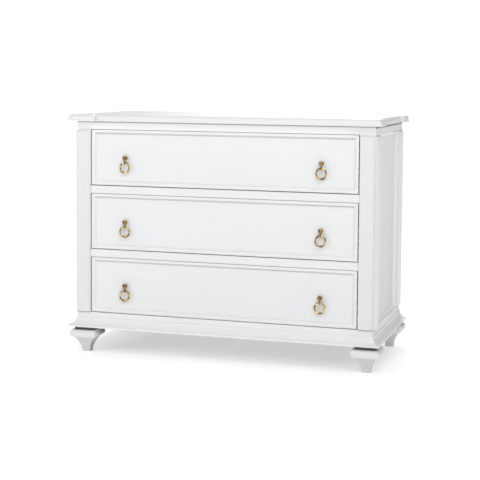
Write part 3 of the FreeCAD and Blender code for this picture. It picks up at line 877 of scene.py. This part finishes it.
class CommodeKnobs(bpy.types.Operator):
    """Turn the ball knobs with the stem and eye that carry the rings"""

    bl_idname = "commode.knobs"
    bl_label = "Knobs"

    def execute(self, context):
        sizes = context.scene.commode_sizes
        pull = self.pattern(sizes)
        for level in LEVELS:
            places = [(sign * PULL_X, 0, PULL_Z[level]) for sign in (-1, 1)]
            pair = [moved_copy(pull, place, "pull") for place in places]
            piece = joined(pair, "pull_knobs_%s_finished" % level)
            coat(piece, brass("worn brass", 0.15, 0.35, depth=0.55))
            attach(piece, "drawer_" + level)
            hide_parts("pull_knobs_" + level)
            eased("pull_roves_" + level, dull_brass(), sizes.rove_arris)
        remove(pull)
        return {"FINISHED"}

    def pattern(self, sizes):
        """One knob, stem and eye, to be copied."""
        middle = FIELD_Y - KNOB_REACH + KNOB_HALF_DEPTH
        rings = [(FIELD_Y + place * MM, radius * MM) for place, radius in KNOB_FOOT]
        for degrees in range(-60, 90, 10):
            angle = math.radians(degrees)
            radius = max(sizes.head_radius * math.cos(angle), KNOB_TIP)
            rings.append((middle - KNOB_HALF_DEPTH * math.sin(angle), radius))
        knob = turned(rings, 1, (0, 0, 0), 40, "knob_ball")
        centre = (0, EYE_Y, -EYE_DROP)
        rings = [(place * MM, radius * MM) for place, radius in KNOB_STEM]
        rings += [(STEM_START, sizes.stem_radius),
                  (sizes.eye_radius - EYE_DROP - STEM_BITE, sizes.stem_radius)]
        stem = turned(rings, 2, centre, 20, "knob_stem")
        eye = wire_ring(
            sizes.eye_radius, sizes.eye_wire, (32, 12), centre, (0, math.pi / 2, 0), "knob_eye")
        edit()
        bpy.ops.transform.resize(value=(EYE_BREADTH, 1, 1), center_override=centre)
        leave_edit()
        pull = joined((knob, stem, eye), "pull_pattern")
        smooth(pull, SHARP_KNOB)
        return pull


class CommodeRings(bpy.types.Operator):
    """Shape the six pull rings, a little fuller at the foot, where they are held"""

    bl_idname = "commode.rings"
    bl_label = "Rings"

    def execute(self, context):
        sizes = context.scene.commode_sizes
        pattern = self.pattern(sizes)
        for level in LEVELS:
            for side, sign in zip(SIDES, (-1, 1)):
                name = "ring_%s_%s" % (side, level)
                place = (sign * PULL_X, 0, PULL_Z[level])
                piece = moved_copy(pattern, place, name + "_finished")
                if (side, level) == ("left", "top"):
                    edit()
                    bpy.ops.transform.rotate(
                        value=sizes.ring_turn, orient_axis="Z",
                        center_override=(place[0], EYE_Y, place[2]))
                    leave_edit()
                coat(piece, brass("polished brass", 0.09, 0.24, blotch=75.0))
                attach(piece, BODY[name])
                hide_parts(name)
        remove(pattern)
        return {"FINISHED"}

    def pattern(self, sizes):
        """One ring, to be copied."""
        centre = (0, EYE_Y, -EYE_DROP - sizes.ring_radius)
        grip = centre[2] - GRIP_START * sizes.ring_radius
        ring = wire_ring(
            sizes.ring_radius, sizes.ring_wire, (72, 18), centre, (math.pi / 2, 0, 0),
            "ring_pattern")
        edit()
        bpy.ops.transform.resize(value=(RING_NARROWING, 1, 1), center_override=centre)
        select_points(ring, lambda point: point.z < grip)
        bpy.ops.transform.shrink_fatten(value=GRIP_EXTRA)
        bpy.ops.mesh.select_all(action="SELECT")
        bpy.ops.mesh.vertices_smooth(factor=0.3, repeat=1)
        leave_edit()
        bpy.ops.object.shade_smooth()
        return ring


class CommodeBackScrews(bpy.types.Operator):
    """Drive the slotted screws that hold the back panel"""

    bl_idname = "commode.back_screws"
    bl_label = "Back screws"

    def execute(self, context):
        low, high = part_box("back_panel")
        pattern = self.pattern(context.scene.commode_sizes.screw_radius, high[1])
        copies = [moved_copy(pattern, (x, 0, z), "screw") for x, z in self.places(low, high)]
        piece = joined(copies, "back_screws")
        smooth(piece, SHARP_SCREW)
        coat(piece, dull_brass())
        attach(piece, "case")
        remove(pattern)
        return {"FINISHED"}

    def pattern(self, radius, face):
        """One slotted head on the back's face, to be copied."""
        bpy.ops.object.select_all(action="DESELECT")
        bpy.ops.mesh.primitive_cylinder_add(
            vertices=24, radius=radius, depth=SCREW_HEIGHT,
            location=(0, face, 0), rotation=(math.pi / 2, 0, 0))
        screw = settle(bpy.context.object, "screw_pattern")
        outer = max(point.co.y for point in screw.data.vertices)
        select_points(screw, lambda point: point.y > outer - NEARLY)
        centre = (0, outer, 0)
        bpy.ops.transform.resize(value=(SCREW_RIM, 1, SCREW_RIM), center_override=centre)
        bpy.ops.mesh.extrude_region_move(TRANSFORM_OT_translate={"value": (0, SCREW_RISE, 0)})
        bpy.ops.transform.resize(value=(SCREW_DOME, 1, SCREW_DOME), center_override=centre)
        for offset in (-SLOT_HALF, SLOT_HALF):
            bpy.ops.mesh.select_all(action="SELECT")
            bpy.ops.mesh.bisect(plane_co=(0, 0, offset), plane_no=(0, 0, 1))
        leave_edit()
        top = max(point.co.y for point in screw.data.vertices)
        for face_of in screw.data.polygons:
            middle = face_of.center
            face_of.select = middle.y > top - NEARLY and abs(middle.z) < SLOT_INSIDE
        bpy.ops.object.mode_set(mode="EDIT")
        bpy.ops.mesh.select_mode(type="FACE")
        bpy.ops.mesh.extrude_region_move(TRANSFORM_OT_translate={"value": (0, -SLOT_DEPTH, 0)})
        leave_edit()
        return screw

    def places(self, low, high):
        """Where the screws sit: up both sides, then along the bottom and the top between them."""
        left, right = low[0] + SCREW_INSET, high[0] - SCREW_INSET
        bottom, top = low[2] + SCREW_INSET, high[2] - SCREW_INSET
        places = []
        for space in range(SCREW_SPACES + 1):
            z = bottom + (top - bottom) * space / SCREW_SPACES
            places += [(left, z), (right, z)]
        for space in range(1, SCREW_SPACES):
            x = left + (right - left) * space / SCREW_SPACES
            places += [(x, bottom), (x, top)]
        return places


class CommodeSetStage(bpy.types.Operator):
    """Lay the pale floor and set the soft light and the camera"""

    bl_idname = "commode.set_stage"
    bl_label = "Stage"

    def execute(self, context):
        scene = context.scene
        stage = scene.commode_stage
        scene.view_settings.view_transform = "Standard"
        scene.view_settings.look = "None"
        bpy.ops.object.select_all(action="DESELECT")
        bpy.ops.mesh.primitive_plane_add(size=FLOOR_SIZE, location=(0, 0, 0))
        floor = settle(context.object, "floor")
        coat(floor, self.floor_material(stage))
        self.world(scene, stage)
        self.light("key light", stage.key, *KEY_LIGHT)
        self.light("back light", stage.back, *BACK_LIGHT)
        self.light("small light", stage.fill, *SMALL_LIGHT)
        self.camera(scene, stage)
        return {"FINISHED"}

    def floor_material(self, stage):
        """A pale floor that shines a little by itself, more so far away."""
        material, tree, shader = new_material("pale floor")
        place = coordinates(tree)
        away = node(tree, "VectorMath", {0: place}, operation="LENGTH").outputs["Value"]
        glow = math_node(
            tree, "ADD",
            ramp(tree, away, GLOW_START, GLOW_MIDDLE, stage.glow_near, stage.glow_far),
            ramp(tree, away, GLOW_MIDDLE, GLOW_END, 0.0, GLOW_GAIN))
        tinted = {index: times(tree, glow, share) for index, share in enumerate(GLOW_TINT)}
        glow = node(tree, "CombineColor", tinted).outputs[0]
        pale = Vector(stage.floor)
        tone = mix_colours(tree, noise(tree, place, 1.5, 2.0), pale * 0.995, pale * 1.005)
        tree.links.new(tone, shader.inputs["Base Color"])
        tree.links.new(glow, shader.inputs["Emission Color"])
        shader.inputs["Emission Strength"].default_value = 1.0
        shader.inputs["Roughness"].default_value = 0.9
        shader.inputs["Specular IOR Level"].default_value = 0.1
        return material

    def world(self, scene, stage):
        """A white backdrop for the camera, and a room that shines from behind and from above."""
        world = bpy.data.worlds.new("studio")
        scene.world = world
        world.use_nodes = True
        tree = world.node_tree
        tree.nodes.clear()
        seen = node(tree, "LightPath").outputs["Is Camera Ray"]
        way = node(tree, "SeparateXYZ", {0: node(tree, "TexCoord").outputs["Generated"]}).outputs
        level = 0.0
        for axis, strength in (("Y", stage.sky_back), ("Z", stage.sky_top)):
            towards = math_node(tree, "MULTIPLY", way[axis], 1.0, clamp=True)
            level = math_node(tree, "ADD", times(tree, towards, strength), level)
        room = node(tree, "Background", {"Strength": level, "Color": ROOM_COLOUR})
        backdrop = node(
            tree, "Background", {"Strength": BACKDROP_STRENGTH, "Color": BACKDROP_COLOUR})
        mixed = node(tree, "MixShader", {0: seen, 1: room.outputs[0], 2: backdrop.outputs[0]})
        tree.links.new(mixed.outputs[0], node(tree, "OutputWorld").inputs["Surface"])

    def light(self, name, power, place, aim, size, colour):
        """One square soft light, aimed at a point."""
        lamp = bpy.data.lights.new(name, "AREA")
        lamp.energy = power
        lamp.size = size
        lamp.color = colour
        made = bpy.data.objects.new(name, lamp)
        bpy.context.scene.collection.objects.link(made)
        made.location = place
        towards = Vector(aim) - Vector(place)
        made.rotation_euler = towards.to_track_quat("-Z", "Y").to_euler()

    def camera(self, scene, stage):
        """The camera, as it stood for the photo."""
        camera = bpy.data.objects.new("camera", bpy.data.cameras.new("camera"))
        scene.collection.objects.link(camera)
        camera.data.sensor_width = 36
        camera.data.lens = stage.lens
        camera.data.shift_y = stage.shift
        camera.matrix_world = (
            Matrix.Translation(stage.eye)
            @ Matrix.Rotation(stage.yaw, 4, "Z")
            @ Matrix.Rotation(math.pi / 2 + stage.pitch, 4, "X")
            @ Matrix.Rotation(stage.roll, 4, "Z"))
        scene.camera = camera


OPERATORS = (
    CommodeTop, CommodeCase, CommodeSideMouldings, CommodeBase, CommodeDrawers, CommodeInnerFrame,
    CommodeKnobs, CommodeRings, CommodeBackScrews, CommodeSetStage,
)


class VIEW3D_PT_commode(bpy.types.Panel):
    """Sizes, colours and steps of the commode"""

    bl_label = "Painted commode"
    bl_space_type = "VIEW_3D"
    bl_region_type = "UI"
    bl_category = "Commode"

    def draw(self, context):
        scene = context.scene
        for group in (scene.commode_sizes, scene.commode_finish, scene.commode_stage):
            box = self.layout.box()
            for name in group.__annotations__:
                box.prop(group, name)
        for operator in OPERATORS:
            self.layout.operator(operator.bl_idname)


CLASSES = (CommodeSizes, CommodeFinish, CommodeStage) + OPERATORS + (VIEW3D_PT_commode,)


def register():
    for kind in CLASSES:
        bpy.utils.register_class(kind)
    bpy.types.Scene.commode_sizes = PointerProperty(type=CommodeSizes)
    bpy.types.Scene.commode_finish = PointerProperty(type=CommodeFinish)
    bpy.types.Scene.commode_stage = PointerProperty(type=CommodeStage)


def unregister():
    del bpy.types.Scene.commode_sizes, bpy.types.Scene.commode_finish, bpy.types.Scene.commode_stage
    for kind in reversed(CLASSES):
        bpy.utils.unregister_class(kind)


def main():
    """Finishes every piece in order."""
    register()
    for operator in OPERATORS:
        getattr(bpy.ops.commode, operator.bl_idname.split(".")[1])()


if __name__ == "__main__":
    main()
